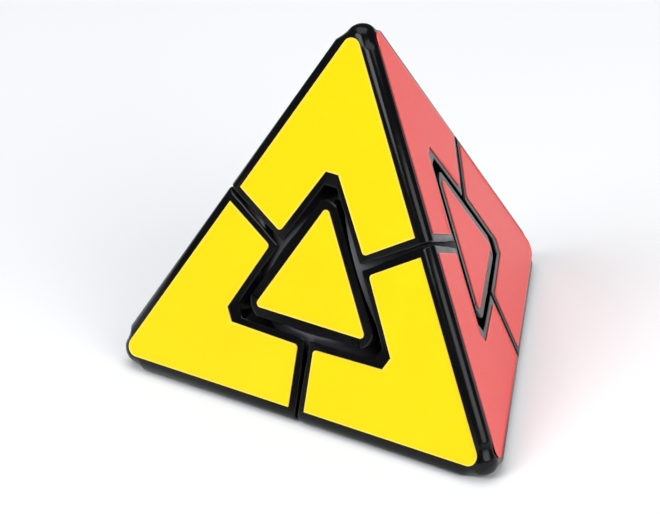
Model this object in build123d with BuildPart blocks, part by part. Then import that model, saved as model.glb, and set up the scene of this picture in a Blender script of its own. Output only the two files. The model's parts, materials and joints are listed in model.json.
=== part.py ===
from build123d import *
import os
from math import asin, cos, degrees, radians, sin, sqrt, tan

# Corner-turning pyramid puzzle, millimetres, +Z up.
# Each layer turns about the line from the core to one corner. Every cut between two pieces is a
# surface of revolution about such a line, so a layer clears the rest at every angle.
# Pieces are modelled about the core's centre on +Z and then placed by planes that start there.

EDGE = 98.0  # edge of the sharp pyramid that the sticker faces lie on
STICKER = 0.2  # sticker thickness
EDGE_ROUND = 1.75  # rounding of the long edges
TIP_CUT = 6.6  # height taken off each sharp corner before rounding
GAP = 0.4  # gap between neighbouring pieces
CLEAR = 0.3  # clearance round the screws and between the core and what turns on it

# Cuts between the pieces.
CUT_INSET = 0.189 * EDGE  # long edge to the gap round the centre triangle
TIP_FLAT = 1.5  # flat on each tip of the gap round the centre
CENTRE_ROUND = 4.0  # rounding of the centre's own tips, which stop short of the gap's
CUT_RELIEF = 0.1  # how far the corners' flanks stand back from the centre's straight sides
FOOT_R = 13.2  # outside of the layer that holds the feet
NECK_R = 17.0  # outside of the layer that holds the corner flanges
FOOT_ANGLE = 88.0  # half-angle of the cut cone in the foot layer
NECK_ANGLE = 80.0  # half-angle of the cut cone in the flange layer
SEAM_CUTS = 3  # cones that follow the straight seam between two corners
REACH = 90.0  # size of the tool solids, well past the object
SEAM_TURN = 23.0  # keeps the seam lines of the revolved cuts out of each other's mirror planes

# Core and what is screwed to it.
CORE_R = 9.0
POST_R = 3.1
POST_TOP = 12.7
SCREW_R = 1.45
SCREW_START = 4.5
HEAD_R = 2.8
HEAD_HEIGHT = 2.0
HEAD_DOME = 0.8
HEAD_GAP = 0.1  # between the screw's head and the washer
SLOT_LENGTH = 3.4
SLOT_WIDTH = 0.7
SLOT_DEPTH = 1.0
WASHER_HEIGHT = 0.5
SPRING_R = 2.45
SPRING_WIRE_R = 0.3
SPRING_TURNS = 5

# Corner base and shell.
WELL_FLOOR = 27.0
WELL_R = 3.6
SPRING_HEIGHT = 5.0
STALK_TOP = 28.5
STALK_IN = 7.0
STALK_R = 9.3
PLUG_R = 5.0
PLUG_TOP = 37.0
PLUG_FIT = 0.05  # clearance of plugs, pins and threads in their holes
POCKET_FLOOR = 30.5
POCKET_TOP = 49.0
WALL = 2.2

# Face centre.
PIN_R = 1.4
PIN_LENGTH = 1.6

# Hidden edge pieces.
EDGE_PIECE_R = 22.0

# Stickers, as distances from the pieces' sharp outlines.
STICKER_INSET = 0.0351 * EDGE  # to a long edge
STICKER_SEAM = 0.0193 * EDGE  # to the seam between two corners
NOTCH_INSET = 0.1611 * EDGE  # long edge to the notch round the centre, at the seam
NOTCH_TURN = 1.43  # turn of each notch side away from the long edge, in degrees
NOTCH_FLAT = 3.0  # flat at the notch's apex
CENTRE_INSET = 0.2107 * EDGE  # long edge to the centre sticker
STICKER_TIP_ROUND = 2.0
STICKER_CORNER_ROUND = 0.8

# Lengths that follow from the edge length.
FACE_IN = EDGE / sqrt(12.0)  # middle of a face to the middle of a long edge
CORNER_OUT = EDGE * sqrt(3.0 / 8.0)  # core centre to a sharp corner
FACE_OUT = CORNER_OUT / 3.0  # core centre to a face
SKIN_OUT = FACE_OUT - STICKER  # core centre to the plastic under the stickers
CUT_IN = FACE_IN - CUT_INSET  # middle of a face to the side of the gap triangle
CUT_HALF = CUT_IN * sqrt(3.0)  # half the side of the gap triangle

# Angles of a face's triangle, then angles between directions from the core's centre, in degrees.
FACE_ANGLE = 60.0
HALF_FACE_ANGLE = FACE_ANGLE / 2.0
CORNER_TO_CORNER = 90.0 + degrees(asin(1.0 / 3.0))
FACE_TO_CORNER = 180.0 - CORNER_TO_CORNER
EDGE_TO_CORNER = CORNER_TO_CORNER / 2.0


def aim(tilt, turn):
    """Unit vector tilted from +Z by tilt degrees and turned about Z by turn degrees."""
    flat = sin(radians(tilt))
    return Vector(flat * cos(radians(turn)), flat * sin(radians(turn)), cos(radians(tilt)))


def polar(radius, angle):
    """Profile point at a radius from the core's centre and an angle from the axis."""
    return (radius * sin(radians(angle)), radius * cos(radians(angle)))


def trace(out, along):
    """Profile point, about a corner's axis, of a point on a face beside that corner.

    out runs from the middle of the face to a long edge of that corner, along runs to the corner.
    """
    to_corner = out * cos(radians(FACE_ANGLE)) + along * sin(radians(FACE_ANGLE))
    height = FACE_OUT / 3.0 + sin(radians(CORNER_TO_CORNER)) * to_corner
    return (sqrt(FACE_OUT**2 + out**2 + along**2 - height**2), height)


def far_trace(sideways):
    """The same for a point on the gap side that faces away from the corner."""
    height = FACE_OUT / 3.0 - sin(radians(CORNER_TO_CORNER)) * CUT_IN
    return (sqrt(FACE_OUT**2 + CUT_IN**2 + sideways**2 - height**2), height)


def layer(growth):
    """All the space that turns with the corner on +Z, made larger by growth."""
    flat_height = far_trace(0.0)[1]
    seam_start = CUT_IN + CUT_RELIEF
    seam_step = (FACE_IN - seam_start) / SEAM_CUTS
    seam = [trace(seam_start + seam_step * step, 0.0) for step in range(SEAM_CUTS + 1)]
    stretch = REACH / seam[-1][0]
    with BuildPart() as turned:
        with BuildSketch(Plane.XZ.rotated((0, 0, SEAM_TURN))):
            with BuildLine():
                Polyline(
                    (-REACH, 0),
                    (0, 0),
                    polar(FOOT_R, FOOT_ANGLE),
                    polar(FOOT_R, NECK_ANGLE),
                    polar(NECK_R, NECK_ANGLE),
                    (NECK_R, flat_height),
                    far_trace(CUT_HALF - TIP_FLAT),
                    trace(seam_start, TIP_FLAT - CUT_HALF),
                    *seam,
                    (seam[-1][0] * stretch, seam[-1][1] * stretch),
                    (REACH, REACH * 2),
                    (-REACH, REACH * 2),
                    close=True,
                )
            make_face()
            offset(amount=growth, kind=Kind.INTERSECTION)
            with Locations((REACH, 0)):
                Rectangle(REACH * 2, REACH * 8, mode=Mode.INTERSECT)
            Circle(CORE_R, mode=Mode.SUBTRACT)
        revolve(axis=Axis.Z)
    return turned.part


def pyramid(corners):
    """The whole rounded pyramid, given the four directions of its corners."""
    with BuildPart() as body:
        Box(REACH * 2, REACH * 2, REACH * 2)
        for corner in corners:
            split(bisect_by=Plane(origin=corner * -SKIN_OUT, z_dir=-corner), keep=Keep.BOTTOM)
        for corner in corners:
            split(
                bisect_by=Plane(origin=corner * (CORNER_OUT - TIP_CUT), z_dir=corner), keep=Keep.BOTTOM
            )
        fillet(body.edges(), radius=EDGE_ROUND)
    return body.part


def carve(blank, inside, outside):
    """The part of a blank that lies in every layer of inside and in no layer of outside."""
    with BuildPart() as piece:
        add(blank)
        Sphere(CORE_R + CLEAR, mode=Mode.SUBTRACT)
        for corner in inside:
            with Locations(Plane(origin=(0, 0, 0), z_dir=corner)):
                add(SHRUNK_LAYER, mode=Mode.INTERSECT)
        for corner in outside:
            with Locations(Plane(origin=(0, 0, 0), z_dir=corner)):
                add(GROWN_LAYER, mode=Mode.SUBTRACT)
    return piece.part


def turned_corner():
    """Solid shape of one corner, pointing up: tip, stalk and flange in one."""
    neighbours = [aim(CORNER_TO_CORNER, turn) for turn in THIRDS]
    return carve(pyramid([UP] + neighbours), [UP], neighbours)


def turned_centre():
    """Solid shape of one face centre, facing up: cap, neck and foot in one."""
    corners = [aim(FACE_TO_CORNER, turn) for turn in THIRDS]
    with BuildPart() as blank:
        add(pyramid(corners + [-UP]))
        with BuildSketch() as outline:
            RegularPolygon(CUT_IN + GAP, 3, major_radius=False)
            fillet(outline.vertices(), radius=CENTRE_ROUND)
        extrude(amount=REACH, mode=Mode.INTERSECT)
    return carve(blank.part, corners, [-UP])


def turned_edge():
    """Solid shape of one hidden edge piece, pointing up."""
    near = [aim(EDGE_TO_CORNER, turn) for turn in (0.0, 180.0)]
    far = [aim(180.0 - EDGE_TO_CORNER, turn) for turn in (90.0, 270.0)]
    with BuildPart() as blank:
        Sphere(EDGE_PIECE_R)
    return carve(blank.part, near, far)


def stalk_zone():
    """Space of a corner's base: its flange, and its stalk up to the shell."""
    with BuildPart() as zone:
        with BuildSketch():
            RegularPolygon(STALK_IN, 3, major_radius=False, rotation=180.0)
            Circle(STALK_R, mode=Mode.INTERSECT)
        extrude(amount=STALK_TOP)
        Sphere(NECK_R + GAP / 2)
    return zone.part


def corner_shell():
    """Outer moulding of a corner, hollow, with a socket for the base's plug."""
    apex = SKIN_OUT * 3.0
    slant = 90.0 - FACE_TO_CORNER
    pocket_in = (apex - POCKET_FLOOR) * tan(radians(slant)) - WALL / cos(radians(slant))
    with BuildPart() as shell:
        add(CORNER)
        add(STALK_ZONE, mode=Mode.SUBTRACT)
        with BuildSketch(Plane.XY.offset(STALK_TOP - GAP)):
            Circle(PLUG_R + PLUG_FIT)
        extrude(amount=POCKET_FLOOR - STALK_TOP + GAP, mode=Mode.SUBTRACT)
        with BuildSketch(Plane.XY.offset(POCKET_FLOOR)):
            RegularPolygon(pocket_in, 3, major_radius=False)
        extrude(amount=POCKET_TOP - POCKET_FLOOR, taper=slant, mode=Mode.SUBTRACT)
    return shell.part


def corner_base():
    """Inner moulding of a corner: flange, stalk and the plug with the spring's well."""
    with BuildPart() as base:
        add(CORNER)
        add(STALK_ZONE, mode=Mode.INTERSECT)
        Sphere(FOOT_R + GAP / 4, mode=Mode.SUBTRACT)
        with BuildSketch(Plane.XY.offset(STALK_TOP)):
            Circle(PLUG_R)
        extrude(amount=PLUG_TOP - STALK_TOP)
        with BuildSketch(Plane.XY.offset(WELL_FLOOR)):
            Circle(WELL_R)
        extrude(amount=PLUG_TOP - WELL_FLOOR, mode=Mode.SUBTRACT)
        with BuildSketch():
            Circle(SCREW_R + CLEAR)
        extrude(amount=PLUG_TOP, mode=Mode.SUBTRACT)
    return base.part


def spring():
    """Coil spring between the bottom of the well and the washer."""
    lift = SPRING_WIRE_R
    rise = SPRING_HEIGHT - 2.0 * SPRING_WIRE_R
    with BuildPart() as coil:
        with BuildLine():
            path = Helix(rise / SPRING_TURNS, rise, SPRING_R, center=(0, 0, WELL_FLOOR + lift))
        with BuildSketch(Plane(origin=path @ 0, z_dir=path % 0)):
            Circle(SPRING_WIRE_R)
        sweep()
    return coil.part


def washer():
    """Washer between the spring and the screw's head."""
    with BuildPart() as ring:
        with BuildSketch(Plane.XY.offset(WELL_FLOOR + SPRING_HEIGHT)):
            Circle(HEAD_R)
            Circle(SCREW_R + CLEAR, mode=Mode.SUBTRACT)
        extrude(amount=WASHER_HEIGHT)
    return ring.part


def screw():
    """Pan-head screw that holds a corner to the core and is the axle it turns on."""
    head_start = WELL_FLOOR + SPRING_HEIGHT + WASHER_HEIGHT + HEAD_GAP
    with BuildPart() as fastener:
        with BuildSketch(Plane.XY.offset(SCREW_START)):
            Circle(SCREW_R)
        extrude(amount=head_start - SCREW_START)
        with BuildSketch(Plane.XY.offset(head_start)):
            Circle(HEAD_R)
        extrude(amount=HEAD_HEIGHT)
        fillet(fastener.edges().group_by(Axis.Z)[-1], radius=HEAD_DOME)
        with BuildSketch(Plane.XY.offset(head_start + HEAD_HEIGHT)):
            Rectangle(SLOT_LENGTH, SLOT_WIDTH)
            Rectangle(SLOT_WIDTH, SLOT_LENGTH)
        extrude(amount=-SLOT_DEPTH, mode=Mode.SUBTRACT)
    return fastener.part


def centre_cap():
    """Outer moulding of a face centre, with a blind hole for the foot's pin."""
    with BuildPart() as cap:
        add(CENTRE)
        Sphere(NECK_R, mode=Mode.SUBTRACT)
        with BuildSketch(Plane.XY.offset(NECK_R - GAP)):
            Circle(PIN_R + PLUG_FIT)
        extrude(amount=GAP + PIN_LENGTH + PLUG_FIT, mode=Mode.SUBTRACT)
    return cap.part


def centre_foot():
    """Inner moulding of a face centre: neck and foot, held under the corners' flanges."""
    with BuildPart() as foot:
        add(CENTRE)
        Sphere(NECK_R, mode=Mode.INTERSECT)
        with BuildSketch(Plane.XY.offset(NECK_R - GAP)):
            Circle(PIN_R)
        extrude(amount=GAP + PIN_LENGTH)
    return foot.part


def core():
    """Ball with a post and a screw hole towards each corner."""
    with BuildPart() as spider:
        Sphere(CORE_R)
        for corner in CORNERS.values():
            with BuildSketch(Plane(origin=(0, 0, 0), z_dir=corner)):
                Circle(POST_R)
            extrude(amount=POST_TOP)
        for corner in CORNERS.values():
            with BuildSketch(Plane(origin=corner * SCREW_START, z_dir=corner)):
                Circle(SCREW_R + PLUG_FIT)
            extrude(amount=POST_TOP, mode=Mode.SUBTRACT)
    return spider.part


def on_face(out, along):
    """Sketch point on a face, from its place beside the long edge on the corner's right."""
    side = radians(HALF_FACE_ANGLE)
    return (out * cos(side) - along * sin(side), out * sin(side) + along * cos(side))


def corner_sticker():
    """One sticker of a corner, with the corner's tip towards +Y."""
    edge_line = FACE_IN - STICKER_INSET
    notch_line = FACE_IN - NOTCH_INSET
    lean = tan(radians(NOTCH_TURN))
    side = radians(HALF_FACE_ANGLE)
    reach = notch_line * cos(side) - STICKER_SEAM * sin(side) - NOTCH_FLAT / 2
    reach = reach / (sin(side) + lean * cos(side))
    apex = on_face(notch_line - reach * lean, STICKER_SEAM + reach)
    with BuildPart() as label:
        with BuildSketch() as outline:
            with BuildLine():
                Polyline(
                    (0, apex[1]),
                    apex,
                    on_face(notch_line, STICKER_SEAM),
                    on_face(edge_line, STICKER_SEAM),
                    on_face(edge_line, edge_line * sqrt(3.0)),
                    close=True,
                )
            make_face()
            mirror(about=Plane.YZ)
            tip = outline.vertices().sort_by(Axis.Y)[-1]
            fillet(tip, radius=STICKER_TIP_ROUND)
            fillet(outline.vertices().group_by(Axis.Y)[0], radius=STICKER_CORNER_ROUND)
        extrude(amount=STICKER)
    return label.part


def centre_sticker():
    """The sticker of a face centre, with one tip towards +X."""
    with BuildPart() as label:
        with BuildSketch() as outline:
            RegularPolygon(FACE_IN - CENTRE_INSET, 3, major_radius=False)
            fillet(outline.vertices(), radius=STICKER_CORNER_ROUND)
        extrude(amount=STICKER)
    return label.part


def frame(direction, toward, out=0.0):
    """Plane at a distance from the core's centre along a direction, its +X towards another."""
    flat = toward - direction * toward.dot(direction)
    return Plane(origin=CORE_CENTRE + direction * out, x_dir=flat, z_dir=direction)


def place(shape, plane, name):
    """Puts a copy of a modelled shape on a plane and writes it as a piece."""
    with BuildPart() as piece:
        with Locations(plane):
            add(shape)
    piece.part.label = name
    export_step(piece.part, f"parts/{name}.step")


THIRDS = (0.0, 120.0, 240.0)
UP = Vector(0, 0, 1)
CORE_CENTRE = UP * FACE_OUT
CORNERS = {
    "top": UP,
    "left": aim(CORNER_TO_CORNER, 210.0),
    "right": aim(CORNER_TO_CORNER, 330.0),
    "rear": aim(CORNER_TO_CORNER, 90.0),
}
OPPOSITE = {"front": "rear", "right": "left", "left": "right", "bottom": "top"}

SHRUNK_LAYER = layer(-GAP / 2)
GROWN_LAYER = layer(GAP / 2)
CORNER = turned_corner()
CENTRE = turned_centre()
EDGE_PIECE = turned_edge()
STALK_ZONE = stalk_zone()

os.makedirs("parts", exist_ok=True)
place(core(), Plane(origin=CORE_CENTRE), "core_spider")

shell, base, coil, ring, fastener = corner_shell(), corner_base(), spring(), washer(), screw()
label = corner_sticker()
for name, axis in CORNERS.items():
    others = [other for other in CORNERS if other != name]
    seat = frame(axis, CORNERS[others[0]])
    place(shell, seat, f"corner_{name}_shell")
    place(base, seat, f"corner_{name}_base")
    place(coil, seat, f"corner_{name}_spring")
    place(ring, seat, f"corner_{name}_washer")
    place(fastener, seat, f"corner_{name}_screw")
    for face, opposite in OPPOSITE.items():
        if opposite != name:
            normal = -CORNERS[opposite]
            up_face = frame(normal, axis, SKIN_OUT)
            turned = Plane(origin=up_face.origin, x_dir=up_face.x_dir.cross(normal), z_dir=normal)
            place(label, turned, f"corner_{name}_sticker_{face}")

cap, foot, label = centre_cap(), centre_foot(), centre_sticker()
for face, opposite in OPPOSITE.items():
    normal = -CORNERS[opposite]
    towards = next(axis for name, axis in CORNERS.items() if name != opposite)
    place(cap, frame(normal, towards), f"centre_{face}_cap")
    place(foot, frame(normal, towards), f"centre_{face}_foot")
    place(label, frame(normal, towards, SKIN_OUT), f"centre_{face}_sticker")

names = list(CORNERS)
for number, first in enumerate(names):
    for second in names[number + 1 :]:
        middle = (CORNERS[first] + CORNERS[second]).normalized()
        place(EDGE_PIECE, frame(middle, CORNERS[first]), f"edge_{first}_{second}")
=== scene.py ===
import json
from math import radians

import bmesh
import bpy
from mathutils import Matrix, Vector

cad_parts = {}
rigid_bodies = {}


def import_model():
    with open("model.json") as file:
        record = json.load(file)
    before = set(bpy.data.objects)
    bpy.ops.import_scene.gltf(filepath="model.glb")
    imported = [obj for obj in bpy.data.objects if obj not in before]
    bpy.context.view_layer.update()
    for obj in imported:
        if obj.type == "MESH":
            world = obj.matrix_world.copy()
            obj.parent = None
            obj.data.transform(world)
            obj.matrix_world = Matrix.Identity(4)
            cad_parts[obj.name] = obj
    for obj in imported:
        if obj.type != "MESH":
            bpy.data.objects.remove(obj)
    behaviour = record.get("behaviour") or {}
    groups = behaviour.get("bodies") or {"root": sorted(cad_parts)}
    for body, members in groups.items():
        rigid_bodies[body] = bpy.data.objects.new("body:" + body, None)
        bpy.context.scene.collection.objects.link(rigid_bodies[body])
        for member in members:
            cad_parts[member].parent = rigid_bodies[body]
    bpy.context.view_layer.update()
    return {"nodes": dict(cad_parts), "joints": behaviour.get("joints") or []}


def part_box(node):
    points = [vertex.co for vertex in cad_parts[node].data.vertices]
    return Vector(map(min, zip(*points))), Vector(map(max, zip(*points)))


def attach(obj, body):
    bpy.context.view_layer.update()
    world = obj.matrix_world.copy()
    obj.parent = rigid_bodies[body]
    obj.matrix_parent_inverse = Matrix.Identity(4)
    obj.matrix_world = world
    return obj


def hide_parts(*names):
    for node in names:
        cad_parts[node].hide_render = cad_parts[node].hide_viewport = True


bl_info = {
    "name": "Pyramid Twisty Puzzle",
    "version": (1, 0, 0),
    "blender": (4, 5, 0),
    "location": "3D View > Sidebar > Puzzle",
    "description": "Builds the visible pieces of a corner-turning pyramid puzzle round its frame",
    "category": "Object",
}

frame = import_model()

MM = 0.001
MERGE = 0.002 * MM
FLAT_JOIN = radians(0.5)
RIM_ANGLE = radians(28)
RIM_SEGMENTS = 5
SKIN_LEAN = 0.995
FLAT_LEAN = 0.996

# A corner's tip, at home on +Z, with heights from the core's centre.
TIP_START = 50.0 * MM
TIP_STEP = 0.5 * MM
TIP_REACH = 10
TIP_SHIFT = 0.37
TIP_BALL = 3.3 * MM
TIP_CENTRE = 49.9 * MM
TIP_BLEND = 1.6 * MM
TIP_RELAX = 8

CORNERS = ("top", "left", "right", "rear")
OPPOSITE = {"front": "rear", "right": "left", "left": "right", "bottom": "top"}
AXES = {
    joint["child"].removeprefix("corner_"): Vector(joint["axis"]).normalized()
    for joint in frame["joints"]
    if joint["parent"] == "core"
}
CORE_CENTRE = Vector(frame["joints"][0]["pos_m"])
FLATS = [-AXES[name] for name in CORNERS]

PLACE_SLACK = 0.8 * MM
FILM_SLACK = 0.1 * MM

# Each softbox is its name, its place and its side in metres.
SOFTBOXES = (
    ("overhead", (-0.1, 0.15, 1.3), 1.3),
    ("key", (-0.25, -1.05, 1.0), 0.7),
    ("side", (1.0, -0.3, 0.55), 0.8),
)
LAMP_AIM = Vector((0, 0, 0.03))
LAMP_COLOUR = "#FAFCFF"
FLOOR_RADIUS = 6.0
FLOOR_SIDES = 96
FLOOR_DROP = 0.05 * MM
CAMERA_PLACE = (0.40321, -0.52385, 0.37421)
CAMERA_TURN = [radians(turn) for turn in (62.0691, 3.0623, 36.7027)]
CAMERA_LENS = 211.17
CAMERA_SENSOR = 36.0
CAMERA_CLIP = (0.02, 40.0)


def linear(code):
    """Linear colour of an sRGB hex code."""
    parts = [int(code[place : place + 2], 16) / 255 for place in (1, 3, 5)]
    return [part / 12.92 if part <= 0.04045 else ((part + 0.055) / 1.055) ** 2.4 for part in parts]


def per_mm(size):
    """Texture scale at which one feature of a pattern is size millimetres across."""
    return 1.0 / (size * MM)


# ---------------------------------------------------------------- settings


def length_setting(name, description, default_mm, low_mm=0.01):
    return bpy.props.FloatProperty(
        name=name,
        description=description,
        default=default_mm * MM,
        min=low_mm * MM,
        precision=5,
        subtype="DISTANCE",
        unit="LENGTH",
    )


def colour_setting(name, description, code):
    return bpy.props.FloatVectorProperty(
        name=name, description=description, default=linear(code), min=0, max=1, size=3, subtype="COLOR"
    )


def power_setting(name, description, default):
    return bpy.props.FloatProperty(
        name=name, description=description, default=default, min=0, unit="POWER"
    )


class PuzzleSizes(bpy.types.PropertyGroup):
    """Sizes that the visible pieces are finished to."""

    rim_round: length_setting("Rim rounding", "Rounding of the moulded rims beside each gap", 0.5)
    film_round: length_setting("Film dip", "How far a sticker's middle lies below its cut edge", 0.07)
    # Width of the band along each sticker's cut edge that is painted paler: a painted highlight.
    cut_line: length_setting("Cut line", "Width of the pale line along a sticker's cut edge", 0.42)
    coil_radius: length_setting("Coil radius", "Axle to the middle of the spring's wire", 2.45)
    coil_wire: length_setting("Coil wire", "Radius of the spring's wire", 0.3)
    coil_start: length_setting("Coil start", "Core centre to the bottom of the spring", 27.0)
    coil_height: length_setting("Coil height", "Length of the spring as fitted", 5.0)
    coil_turns: bpy.props.IntProperty(
        name="Coil turns", description="Turns of a spring", default=6, min=1
    )
    thread_radius: length_setting("Thread radius", "Axle to the root of the screw's thread", 1.43)
    thread_ridge: length_setting("Thread ridge", "Radius of the thread's ridge", 0.2)
    thread_start: length_setting("Thread start", "Core centre to the end of the thread", 5.0)
    thread_height: length_setting("Thread length", "Length of the threaded stretch", 7.0)
    thread_turns: bpy.props.IntProperty(
        name="Thread turns", description="Turns of a thread", default=9, min=1
    )


class PuzzleColours(bpy.types.PropertyGroup):
    """Colours of the mouldings and of the four stickered faces."""

    shell: colour_setting("Shell", "Outer mouldings", "#080809")
    inner: colour_setting("Inner", "Mouldings inside", "#3C3C40")
    core: colour_setting("Core", "Core moulding", "#DAD8CF")
    front: colour_setting("Front face", "Stickers of the front face", "#FFE000")
    right: colour_setting("Right face", "Stickers of the right face", "#F82A1C")
    left: colour_setting("Left face", "Stickers of the left face", "#1247B8")
    bottom: colour_setting("Bottom face", "Stickers of the face it rests on", "#0F9A3C")
    floor: colour_setting("Floor", "Studio floor", "#F7F7F6")
    backdrop: colour_setting("Surroundings", "Studio beyond the lamps", "#8C8D90")


class PuzzleStudio(bpy.types.PropertyGroup):
    """Strength of the studio's lamps."""

    overhead: power_setting("Overhead lamp", "Power of the softbox above", 12.0)
    key: power_setting("Key lamp", "Power of the softbox before the front face", 10.5)
    side: power_setting("Side lamp", "Power of the softbox on the right", 8.0)
    surroundings: bpy.props.FloatProperty(
        name="Surroundings", description="Brightness beyond the lamps", default=0.3, min=0
    )


# ---------------------------------------------------------------- materials


def add_node(tree, kind, inputs=None, **settings):
    """Adds a node with its settings; an input is a value or the socket that it is linked to."""
    node = tree.nodes.new(kind)
    for name, value in settings.items():
        setattr(node, name, value)
    for name, value in (inputs or {}).items():
        if isinstance(value, bpy.types.NodeSocket):
            tree.links.new(value, node.inputs[name])
        else:
            node.inputs[name].default_value = value
    return node


def new_material(name):
    """An empty node material and its tree."""
    material = bpy.data.materials.new(name)
    material.use_nodes = True
    material.node_tree.nodes.clear()
    return material, material.node_tree


def object_place(tree):
    return add_node(tree, "ShaderNodeTexCoord").outputs["Object"]


def finish_material(tree, shader):
    add_node(tree, "ShaderNodeOutputMaterial", {"Surface": shader.outputs["BSDF"]})


def blend_colour(tree, share, first, second):
    """Colour between first and second, by a share from 0 to 1."""
    node = add_node(tree, "ShaderNodeMix", {"Factor": share}, data_type="RGBA")
    for place, colour in ((6, first), (7, second)):
        if isinstance(colour, bpy.types.NodeSocket):
            tree.links.new(colour, node.inputs[place])
        else:
            node.inputs[place].default_value = (*colour, 1)
    return node.outputs[2]


def spread(tree, value, low, high):
    """A pattern's middle range stretched to run from low to high."""
    inputs = {"Value": value, "From Min": 0.3, "From Max": 0.7, "To Min": low, "To Max": high}
    return add_node(tree, "ShaderNodeMapRange", inputs).outputs["Result"]


def noise(tree, place, size, detail=3.0, roughness=0.5):
    inputs = {"Vector": place, "Scale": per_mm(size), "Detail": detail, "Roughness": roughness}
    return add_node(tree, "ShaderNodeTexNoise", inputs).outputs["Fac"]


def polished_abs(colour):
    """Polished moulded ABS: near black and glossy, with soft handling marks that break the shine."""
    material, tree = new_material("polished_abs")
    place = object_place(tree)
    handling = noise(tree, place, 9.0, 4.0, 0.6)
    # The rub marks are fine hairs about 0.35 mm apart, drawn long across the turn of the layers.
    stretched = add_node(tree, "ShaderNodeMapping", {"Vector": place, "Scale": (1.0, 0.12, 1.0)})
    hairs = noise(tree, stretched.outputs["Vector"], 0.35, 2.0)
    worn = add_node(
        tree, "ShaderNodeMath", {0: spread(tree, handling, 0.0, 1.0), 1: spread(tree, hairs, 0.4, 1.0)},
        operation="MULTIPLY",
    )
    peel = noise(tree, place, 1.1, 2.0)
    bump = add_node(tree, "ShaderNodeBump", {"Height": peel, "Strength": 0.05, "Distance": 0.03 * MM})
    dusty = [part * 1.4 + 0.001 for part in colour]
    shader = add_node(
        tree,
        "ShaderNodeBsdfPrincipled",
        {
            "Base Color": blend_colour(tree, worn.outputs["Value"], colour, dusty),
            "Roughness": spread(tree, worn.outputs["Value"], 0.17, 0.26),
            "IOR": 1.5,
            "Specular IOR Level": 0.22,
            "Normal": bump.outputs["Normal"],
        },
    )
    finish_material(tree, shader)
    return material


def eroded_abs(colour):
    """Spark-eroded moulded ABS: a dark, even, fine-grained matt skin where nobody looks."""
    material, tree = new_material("eroded_abs")
    place = object_place(tree)
    grain = noise(tree, place, 0.25, 2.0, 0.7)
    tone = noise(tree, place, 6.0, 3.0)
    bump = add_node(tree, "ShaderNodeBump", {"Height": grain, "Strength": 0.25, "Distance": 0.02 * MM})
    rubbed = [part * 1.5 + 0.004 for part in colour]
    shader = add_node(
        tree,
        "ShaderNodeBsdfPrincipled",
        {
            "Base Color": blend_colour(tree, spread(tree, tone, 0.0, 0.6), colour, rubbed),
            "Roughness": spread(tree, grain, 0.42, 0.56),
            "IOR": 1.53,
            "Normal": bump.outputs["Normal"],
        },
    )
    finish_material(tree, shader)
    return material


def moulded_nylon(colour):
    """Moulded nylon: off-white, waxy and slightly see-through, faintly cloudy from the flow."""
    material, tree = new_material("moulded_nylon")
    place = object_place(tree)
    flow = noise(tree, place, 5.0, 4.0, 0.6)
    skin = noise(tree, place, 0.5, 2.0)
    bump = add_node(tree, "ShaderNodeBump", {"Height": skin, "Strength": 0.1, "Distance": 0.02 * MM})
    yellowed = [colour[0], colour[1] * 0.97, colour[2] * 0.88]
    shader = add_node(
        tree,
        "ShaderNodeBsdfPrincipled",
        {
            "Base Color": blend_colour(tree, spread(tree, flow, 0.0, 1.0), colour, yellowed),
            "Roughness": spread(tree, flow, 0.34, 0.46),
            "IOR": 1.53,
            "Subsurface Weight": 0.12,
            "Subsurface Scale": 1.0 * MM,
            "Normal": bump.outputs["Normal"],
        },
    )
    finish_material(tree, shader)
    return material


def zinc_plated_steel():
    """Zinc-plated steel: a bright, slightly blue metal with drawn streaks and duller patches."""
    material, tree = new_material("zinc_plated_steel")
    place = object_place(tree)
    patches = noise(tree, place, 1.6, 4.0, 0.6)
    stretched = add_node(tree, "ShaderNodeMapping", {"Vector": place, "Scale": (1.0, 1.0, 0.15)})
    streaks = noise(tree, stretched.outputs["Vector"], 0.15, 2.0)
    tint = blend_colour(tree, spread(tree, patches, 0.0, 1.0), linear("#BFC5CA"), linear("#A7A79F"))
    bump = add_node(tree, "ShaderNodeBump", {"Height": streaks, "Strength": 0.15, "Distance": 0.01 * MM})
    shader = add_node(
        tree,
        "ShaderNodeBsdfPrincipled",
        {
            "Base Color": tint,
            "Metallic": 1.0,
            "Roughness": spread(tree, streaks, 0.24, 0.38),
            "Normal": bump.outputs["Normal"],
        },
    )
    finish_material(tree, shader)
    return material


def vinyl_film(face, colour):
    """Calendered vinyl film: strong even colour under a soft gloss, with a painted highlight along the cut
    edge.
    """
    material, tree = new_material(f"vinyl_film_{face}")
    place = object_place(tree)
    # The film's own grain is finer than can show, so it is drawn at 0.45 mm.
    grain = noise(tree, place, 0.45, 2.0)
    lie = noise(tree, place, 14.0, 2.0)
    height = add_node(tree, "ShaderNodeMath", {0: grain, 1: 0.12, 2: lie}, operation="MULTIPLY_ADD")
    bump = add_node(
        tree, "ShaderNodeBump", {"Height": height.outputs["Value"], "Strength": 0.02, "Distance": 0.03 * MM}
    )
    # A band along the cut edge is painted paler. This painted highlight stands in for the light that a
    # rounded film edge would catch.
    cut = add_node(tree, "ShaderNodeAttribute", attribute_name="cut_line").outputs["Fac"]
    line = add_node(
        tree, "ShaderNodeMapRange", {"Value": cut, "From Min": 0.35, "From Max": 0.7, "To Max": 0.3}
    ).outputs["Result"]
    # pale is the colour of the painted highlight along the cut edge.
    pale = [part + (1 - part) * 0.35 for part in colour]
    shade = [part * 0.955 for part in colour]
    body = blend_colour(tree, spread(tree, lie, 0.0, 0.7), colour, shade)
    shader = add_node(
        tree,
        "ShaderNodeBsdfPrincipled",
        {
            "Base Color": blend_colour(tree, line, body, pale),
            "Roughness": spread(tree, grain, 0.28, 0.33),
            "IOR": 1.54,
            "Specular IOR Level": 0.3,
            "Normal": bump.outputs["Normal"],
        },
    )
    finish_material(tree, shader)
    return material


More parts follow.
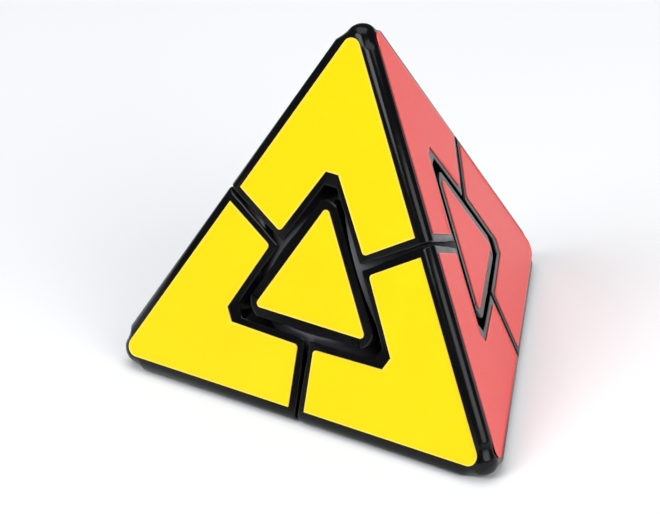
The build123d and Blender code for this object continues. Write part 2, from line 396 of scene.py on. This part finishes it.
def studio_card(colour):
    """Matt painted board: a plain pale floor with no shine and the faintest unevenness."""
    material, tree = new_material("studio_card")
    place = object_place(tree)
    tone = noise(tree, place, 120.0, 2.0)
    shade = [part * 0.99 for part in colour]
    shader = add_node(
        tree,
        "ShaderNodeBsdfPrincipled",
        {
            "Base Color": blend_colour(tree, spread(tree, tone, 0.0, 1.0), colour, shade),
            "Roughness": 0.9,
            "Specular IOR Level": 0.1,
        },
    )
    finish_material(tree, shader)
    return material


# ---------------------------------------------------------------- places


def seat(direction, toward):
    """Rotation whose Z is a direction from the core's centre and whose X leans towards another."""
    flat = (toward - direction * toward.dot(direction)).normalized()
    return Matrix((flat, direction.cross(flat), direction)).transposed()


def corner_seat(name):
    first_other = next(other for other in CORNERS if other != name)
    return seat(AXES[name], AXES[first_other])


def face_seat(face):
    first_corner = next(name for name in CORNERS if name != OPPOSITE[face])
    return seat(-AXES[OPPOSITE[face]], AXES[first_corner])


def sticker_seat(name, face):
    return seat(-AXES[OPPOSITE[face]], AXES[name])


def check_place(piece, node, slack=PLACE_SLACK):
    """Stops the build if a piece isn't where the node it stands for is."""
    low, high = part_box(node)
    for axis in range(3):
        values = [vertex.co[axis] for vertex in piece.data.vertices]
        if abs(min(values) - low[axis]) > slack or abs(max(values) - high[axis]) > slack:
            raise RuntimeError(f"{piece.name} isn't where {node} is")


# ---------------------------------------------------------------- geometry nodes


def new_tree(name, sockets):
    """An empty geometry tree with named inputs, each (name, kind), and one geometry output."""
    tree = bpy.data.node_groups.new(name, "GeometryNodeTree")
    for label, kind in sockets:
        tree.interface.new_socket(name=label, in_out="INPUT", socket_type=kind)
    tree.interface.new_socket(name="Geometry", in_out="OUTPUT", socket_type="NodeSocketGeometry")
    return tree


def put_on_axle(tree, given, geometry):
    """Ends a tree: turns the geometry about the core's centre, makes it real, gives it its material."""
    point = add_node(tree, "GeometryNodePoints", {"Position": given["Centre"]})
    turn = add_node(tree, "FunctionNodeEulerToRotation", {"Euler": given["Turn"]})
    instance = add_node(
        tree,
        "GeometryNodeInstanceOnPoints",
        {
            "Points": point.outputs[0],
            "Instance": geometry,
            "Rotation": turn.outputs["Rotation"],
        },
    )
    real = add_node(tree, "GeometryNodeRealizeInstances", {"Geometry": instance.outputs["Instances"]})
    finished = add_node(
        tree,
        "GeometryNodeSetMaterial",
        {"Geometry": real.outputs["Geometry"], "Material": given["Material"]},
    )
    add_node(tree, "NodeGroupOutput", {"Geometry": finished.outputs["Geometry"]})
    return tree


PLACING = [
    ("Centre", "NodeSocketVector"),
    ("Turn", "NodeSocketVector"),
    ("Material", "NodeSocketMaterial"),
]


def repeat_tree():
    """Tree that sets a copy of one moulding on another of the puzzle's axles."""
    tree = new_tree("Repeat on axle", [("Geometry", "NodeSocketGeometry")] + PLACING)
    given = add_node(tree, "NodeGroupInput").outputs
    return put_on_axle(tree, given, given["Geometry"])


def coil_tree():
    """Tree that sweeps a round wire along a helix round an axle: a spring, or a thread's ridge."""
    sizes = [("Turns", "NodeSocketFloat"), ("Radius", "NodeSocketFloat"), ("Wire", "NodeSocketFloat")]
    ends = [("Start", "NodeSocketFloat"), ("Height", "NodeSocketFloat")]
    tree = new_tree("Coil round axle", [("Geometry", "NodeSocketGeometry")] + sizes + ends + PLACING)
    given = add_node(tree, "NodeGroupInput").outputs
    helix = add_node(
        tree,
        "GeometryNodeCurveSpiral",
        {
            "Resolution": 24,
            "Rotations": given["Turns"],
            "Start Radius": given["Radius"],
            "End Radius": given["Radius"],
            "Height": given["Height"],
        },
    )
    wire = add_node(tree, "GeometryNodeCurvePrimitiveCircle", {"Resolution": 10, "Radius": given["Wire"]})
    swept = add_node(
        tree,
        "GeometryNodeCurveToMesh",
        {"Curve": helix.outputs["Curve"], "Profile Curve": wire.outputs["Curve"], "Fill Caps": True},
    )
    lift = add_node(tree, "ShaderNodeCombineXYZ", {"Z": given["Start"]})
    lifted = add_node(
        tree,
        "GeometryNodeTransform",
        {"Geometry": swept.outputs["Mesh"], "Translation": lift.outputs["Vector"]},
    )
    return put_on_axle(tree, given, lifted.outputs["Geometry"])


def grow(name, mesh, tree, values):
    """Makes a plain mesh object from a geometry tree, its inputs set by name."""
    source = bpy.data.objects.new(f"{name}_source", mesh)
    bpy.context.scene.collection.objects.link(source)
    modifier = source.modifiers.new("grow", "NODES")
    modifier.node_group = tree
    for item in tree.interface.items_tree:
        if item.in_out == "INPUT" and item.name in values:
            modifier[item.identifier] = values[item.name]
    graph = bpy.context.evaluated_depsgraph_get()
    made = bpy.data.meshes.new_from_object(source.evaluated_get(graph), depsgraph=graph)
    bpy.data.objects.remove(source)
    if not made.polygons:
        raise RuntimeError(f"{name} came out empty")
    made.name = name
    piece = bpy.data.objects.new(name, made)
    bpy.context.scene.collection.objects.link(piece)
    return piece


# ---------------------------------------------------------------- meshes


def clean_copy(node):
    """A bmesh of a CAD node with its doubles merged and its flat faces joined up.

    A ring-shaped flat comes out joined across its hole, as a shell's does over its screw.
    """
    work = bmesh.new()
    work.from_mesh(frame["nodes"][node].data)
    bmesh.ops.remove_doubles(work, verts=work.verts, dist=MERGE)
    bmesh.ops.dissolve_degenerate(work, edges=work.edges, dist=MERGE)
    bmesh.ops.dissolve_limit(work, angle_limit=FLAT_JOIN, verts=work.verts, edges=work.edges)
    return work


def is_skin(face, rounded):
    """Whether a face belongs to the outer skin: a flat, or if rounded a long edge or the tip."""
    if max(face.normal.dot(flat) for flat in FLATS) > SKIN_LEAN:
        return True
    if not rounded:
        return False
    outward = face.calc_center_median() - CORE_CENTRE
    if outward.length > TIP_START and face.normal.dot(outward.normalized()) > 0.5:
        return True
    first, second = sorted(FLATS, key=face.normal.dot)[-2:]
    along = first.cross(second).normalized()
    lean = first.dot(second)
    near = face.normal.dot(second) - lean * face.normal.dot(first)
    far = face.normal.dot(first) - lean * face.normal.dot(second)
    return abs(face.normal.dot(along)) < 0.03 and min(near, far) > 0


def mark_rims(work, rounded):
    """Gives full bevel weight to the sharp edges where the skin meets a gap's wall."""
    weight = work.edges.layers.float.new("bevel_weight_edge")
    skin = {face: is_skin(face, rounded) for face in work.faces}
    for edge in work.edges:
        sides = edge.link_faces
        if len(sides) == 2 and skin[sides[0]] != skin[sides[1]]:
            if edge.calc_face_angle(0) > RIM_ANGLE:
                edge[weight] = 1.0


def soften_tip(work):
    """Rounds a corner's blunt tip, at home on +Z, towards a ball, over a fine grid cut across it."""
    cut_across(work, Vector((0, 0, TIP_START)), Vector((0, 0, 1)))
    for step in range(-TIP_REACH, TIP_REACH + 1):
        for across in (Vector((1, 0, 0)), Vector((0, 1, 0))):
            cut_across(work, across * (step + TIP_SHIFT) * TIP_STEP, across)
    centre = Vector((0, 0, TIP_CENTRE))
    for vertex in work.verts:
        share = min(max((vertex.co.z - TIP_START) / TIP_BLEND, 0.0), 1.0)
        out = vertex.co - centre
        if share > 0 and out.length > TIP_BALL:
            vertex.co = vertex.co.lerp(centre + out.normalized() * TIP_BALL, share)
    tip = [vertex for vertex in work.verts if vertex.co.z > TIP_START + TIP_STEP]
    for _ in range(TIP_RELAX):
        bmesh.ops.smooth_vert(work, verts=tip, factor=0.5, use_axis_x=True, use_axis_y=True, use_axis_z=True)


def cut_across(work, place, across):
    """Cuts the faces that reach up into a corner's tip with a plane."""
    low = TIP_START + MERGE
    faces = [face for face in work.faces if max(vertex.co.z for vertex in face.verts) > low]
    geometry = faces + list({edge for face in faces for edge in face.edges})
    geometry += list({vertex for face in faces for vertex in face.verts})
    bmesh.ops.bisect_plane(work, geom=geometry, dist=MERGE, plane_co=place, plane_no=across)


def moulding(node, turn, round_by, rounded):
    """A moulding with its rims rounded, at home on +Z."""
    work = clean_copy(node)
    work.normal_update()
    mark_rims(work, rounded)
    work.transform(turn.to_4x4().inverted() @ Matrix.Translation(-CORE_CENTRE))
    if rounded:
        soften_tip(work)
    mesh = bpy.data.meshes.new(f"{node}_home")
    work.to_mesh(mesh)
    work.free()
    holder = bpy.data.objects.new(mesh.name, mesh)
    bpy.context.scene.collection.objects.link(holder)
    rims = holder.modifiers.new("rims", "BEVEL")
    rims.width = round_by
    rims.segments = RIM_SEGMENTS
    rims.limit_method = "WEIGHT"
    rims.use_clamp_overlap = False
    graph = bpy.context.evaluated_depsgraph_get()
    made = bpy.data.meshes.new_from_object(holder.evaluated_get(graph), depsgraph=graph)
    bpy.data.objects.remove(holder)
    flats = [turn.inverted() @ flat for flat in FLATS]
    keep_inside(made, mesh, flats)
    shade(made, flats)
    return made


def keep_inside(made, source, flats):
    """Puts back any vertex that rounding pushed out past the planes of the skin's flats."""
    for flat in flats:
        limit = max(vertex.co.dot(flat) for vertex in source.vertices)
        for vertex in made.vertices:
            over = vertex.co.dot(flat) - limit
            if over > 0:
                vertex.co -= flat * over


def shade(mesh, flats):
    """Smooth shading that stops at hard edges and leaves the flats of the skin truly flat."""
    for polygon in mesh.polygons:
        polygon.use_smooth = max(polygon.normal.dot(flat) for flat in flats) < FLAT_LEAN
    mesh.set_sharp_from_angle(angle=RIM_ANGLE)


def film(node, turn, round_by, line):
    """A sticker at home on +Z: its middle below its cut edge, and an attribute that marks a band along that
    edge for a painted highlight.
    """
    # The inset runs along normals from before the turn, so the middle also tilts by about 0.1 mm.
    work = clean_copy(node)
    work.transform(turn.to_4x4().inverted() @ Matrix.Translation(-CORE_CENTRE))
    top = max(work.faces, key=lambda face: (round(face.calc_center_median().z, 6), face.calc_area()))
    rim = list(top.verts)
    bmesh.ops.inset_region(work, faces=[top], thickness=round_by, use_even_offset=True)
    for vertex in rim:
        vertex.co.z -= round_by
    # This layer marks the band along the cut edge where the film's material paints a highlight.
    layer = work.verts.layers.float.new("cut_line")
    for vertex in work.verts:
        vertex[layer] = 1.0
    bmesh.ops.inset_region(work, faces=[top], thickness=line, use_even_offset=True)
    for vertex in top.verts:
        vertex[layer] = 0.0
    mesh = bpy.data.meshes.new(f"{node}_home")
    work.to_mesh(mesh)
    work.free()
    return mesh


def give_finish(nodes, material):
    """Gives CAD nodes a finish of their own."""
    for node in nodes:
        mesh = frame["nodes"][node].data
        mesh.materials.clear()
        mesh.materials.append(material)


# ---------------------------------------------------------------- operators


class PUZZLE_OT_corner_shells(bpy.types.Operator):
    """Corner shells: one moulding with rounded rims, repeated on the four axles"""

    bl_idname = "puzzle.corner_shells"
    bl_label = "Corner shells"

    def execute(self, context):
        sizes, colours = context.scene.puzzle_sizes, context.scene.puzzle_colours
        master = moulding("corner_top_shell", corner_seat("top"), sizes.rim_round, True)
        tree, material = repeat_tree(), polished_abs(colours.shell)
        for name in CORNERS:
            values = {"Centre": CORE_CENTRE, "Turn": corner_seat(name).to_euler(), "Material": material}
            piece = grow(f"shell_{name}", master.copy(), tree, values)
            check_place(piece, f"corner_{name}_shell")
            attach(piece, f"corner_{name}")
            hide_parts(f"corner_{name}_shell")
        return {"FINISHED"}


class PUZZLE_OT_centre_caps(bpy.types.Operator):
    """Face centre caps: one moulding with rounded rims, repeated on the four faces"""

    bl_idname = "puzzle.centre_caps"
    bl_label = "Face centre caps"

    def execute(self, context):
        sizes = context.scene.puzzle_sizes
        master = moulding("centre_front_cap", face_seat("front"), sizes.rim_round, False)
        tree, material = repeat_tree(), bpy.data.materials["polished_abs"]
        for face in OPPOSITE:
            values = {"Centre": CORE_CENTRE, "Turn": face_seat(face).to_euler(), "Material": material}
            piece = grow(f"cap_{face}", master.copy(), tree, values)
            check_place(piece, f"centre_{face}_cap")
            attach(piece, f"centre_{face}")
            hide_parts(f"centre_{face}_cap")
        return {"FINISHED"}


class PUZZLE_OT_stickers(bpy.types.Operator):
    """Stickers: three on each corner and one on each face centre, in the colour of their face"""

    bl_idname = "puzzle.stickers"
    bl_label = "Stickers"

    def execute(self, context):
        sizes, colours = context.scene.puzzle_sizes, context.scene.puzzle_colours
        # The second size is the width of the painted highlight along each sticker's cut edge.
        shape = (sizes.film_round, sizes.cut_line)
        corner = film("corner_top_sticker_front", sticker_seat("top", "front"), *shape)
        centre = film("centre_front_sticker", face_seat("front"), *shape)
        tree = repeat_tree()
        for face, opposite in OPPOSITE.items():
            material = vinyl_film(face, list(getattr(colours, face)))
            places = [(f"centre_{face}", f"centre_{face}_sticker", face_seat(face), centre)]
            for name in CORNERS:
                if name != opposite:
                    node = f"corner_{name}_sticker_{face}"
                    places.append((f"corner_{name}", node, sticker_seat(name, face), corner))
            for body, node, turn, master in places:
                values = {"Centre": CORE_CENTRE, "Turn": turn.to_euler(), "Material": material}
                piece = grow(f"film_{node.replace('_sticker', '')}", master.copy(), tree, values)
                check_place(piece, node, FILM_SLACK)
                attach(piece, body)
                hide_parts(node)
        return {"FINISHED"}


class PUZZLE_OT_inner_mouldings(bpy.types.Operator):
    """Finish of the core and of the mouldings that hold the puzzle together inside"""

    bl_idname = "puzzle.inner_mouldings"
    bl_label = "Inner mouldings"

    def execute(self, context):
        colours = context.scene.puzzle_colours
        inner = [node for node in frame["nodes"] if node.endswith(("_base", "_foot"))]
        inner += [node for node in frame["nodes"] if node.startswith("edge_")]
        give_finish(inner, eroded_abs(colours.inner))
        give_finish(["core_spider"], moulded_nylon(colours.core))
        return {"FINISHED"}


class PUZZLE_OT_axles(bpy.types.Operator):
    """Axles: the screws' and washers' finish, with swept springs and threads"""

    bl_idname = "puzzle.axles"
    bl_label = "Springs, screws and washers"

    def execute(self, context):
        sizes = context.scene.puzzle_sizes
        tree, material = coil_tree(), zinc_plated_steel()
        give_finish([n for n in frame["nodes"] if n.endswith(("_screw", "_washer"))], material)
        wire = sizes.coil_wire
        spring = {
            "Turns": float(sizes.coil_turns - 1),
            "Radius": sizes.coil_radius,
            "Wire": wire,
            "Start": sizes.coil_start + wire,
            "Height": sizes.coil_height - 2 * wire,
        }
        thread = {
            "Turns": float(sizes.thread_turns),
            "Radius": sizes.thread_radius,
            "Wire": sizes.thread_ridge,
            "Start": sizes.thread_start,
            "Height": sizes.thread_height,
        }
        for name in CORNERS:
            place = {"Centre": CORE_CENTRE, "Turn": corner_seat(name).to_euler(), "Material": material}
            coil = grow(f"spring_{name}", bpy.data.meshes.new("coil"), tree, spring | place)
            check_place(coil, f"corner_{name}_spring")
            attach(coil, f"corner_{name}")
            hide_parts(f"corner_{name}_spring")
            ridge = grow(f"thread_{name}", bpy.data.meshes.new("ridge"), tree, thread | place)
            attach(ridge, "core")
        return {"FINISHED"}


class PUZZLE_OT_stage(bpy.types.Operator):
    """Stage: pale floor, softboxes, surroundings and camera"""

    bl_idname = "puzzle.stage"
    bl_label = "Stage"

    def execute(self, context):
        colours, studio = context.scene.puzzle_colours, context.scene.puzzle_studio
        lay_floor(colours)
        for name, place, size in SOFTBOXES:
            hang_lamp(name, place, size, getattr(studio, name))
        light_surroundings(colours, studio)
        set_camera()
        return {"FINISHED"}


def lay_floor(colours):
    work = bmesh.new()
    bmesh.ops.create_circle(work, cap_ends=True, segments=FLOOR_SIDES, radius=FLOOR_RADIUS)
    mesh = bpy.data.meshes.new("floor")
    work.to_mesh(mesh)
    work.free()
    mesh.transform(Matrix.Translation((0, 0, -FLOOR_DROP)))
    mesh.materials.append(studio_card(list(colours.floor)))
    floor = bpy.data.objects.new("floor", mesh)
    bpy.context.scene.collection.objects.link(floor)


def hang_lamp(name, place, size, power):
    lamp = bpy.data.lights.new(name, "AREA")
    lamp.shape = "SQUARE"
    lamp.size = size
    lamp.energy = power
    lamp.color = linear(LAMP_COLOUR)
    holder = bpy.data.objects.new(name, lamp)
    holder.location = place
    holder.rotation_euler = (LAMP_AIM - Vector(place)).to_track_quat("-Z", "Y").to_euler()
    bpy.context.scene.collection.objects.link(holder)


def light_surroundings(colours, studio):
    world = bpy.data.worlds.new("studio")
    world.use_nodes = True
    background = world.node_tree.nodes["Background"]
    background.inputs["Color"].default_value = (*colours.backdrop, 1)
    background.inputs["Strength"].default_value = studio.surroundings
    bpy.context.scene.world = world
    bpy.context.scene.view_settings.view_transform = "Standard"


def set_camera():
    lens = bpy.data.cameras.new("camera")
    lens.sensor_width = CAMERA_SENSOR
    lens.lens = CAMERA_LENS
    lens.clip_start, lens.clip_end = CAMERA_CLIP
    camera = bpy.data.objects.new("camera", lens)
    camera.location = CAMERA_PLACE
    camera.rotation_euler = CAMERA_TURN
    bpy.context.scene.collection.objects.link(camera)
    bpy.context.scene.camera = camera


class PUZZLE_PT_build(bpy.types.Panel):
    """Sidebar panel of the puzzle's settings and building steps"""

    bl_idname = "PUZZLE_PT_build"
    bl_label = "Pyramid Twisty Puzzle"
    bl_space_type = "VIEW_3D"
    bl_region_type = "UI"
    bl_category = "Puzzle"

    def draw(self, context):
        for group in ("puzzle_sizes", "puzzle_colours", "puzzle_studio"):
            settings = getattr(context.scene, group)
            column = self.layout.column(heading=settings.rna_type.name)
            for name in settings.__annotations__:
                column.prop(settings, name)
        for step in STEPS:
            self.layout.operator(step.bl_idname)


STEPS = (
    PUZZLE_OT_corner_shells,
    PUZZLE_OT_centre_caps,
    PUZZLE_OT_stickers,
    PUZZLE_OT_inner_mouldings,
    PUZZLE_OT_axles,
    PUZZLE_OT_stage,
)
GROUPS = {"puzzle_sizes": PuzzleSizes, "puzzle_colours": PuzzleColours, "puzzle_studio": PuzzleStudio}


def register():
    for kind in (*GROUPS.values(), *STEPS, PUZZLE_PT_build):
        bpy.utils.register_class(kind)
    for name, kind in GROUPS.items():
        setattr(bpy.types.Scene, name, bpy.props.PointerProperty(type=kind))


def unregister():
    for name in GROUPS:
        delattr(bpy.types.Scene, name)
    for kind in reversed((*GROUPS.values(), *STEPS, PUZZLE_PT_build)):
        bpy.utils.unregister_class(kind)


def main():
    register()
    bpy.ops.puzzle.corner_shells()
    bpy.ops.puzzle.centre_caps()
    bpy.ops.puzzle.stickers()
    bpy.ops.puzzle.inner_mouldings()
    bpy.ops.puzzle.axles()
    bpy.ops.puzzle.stage()


if __name__ == "__main__":
    main()
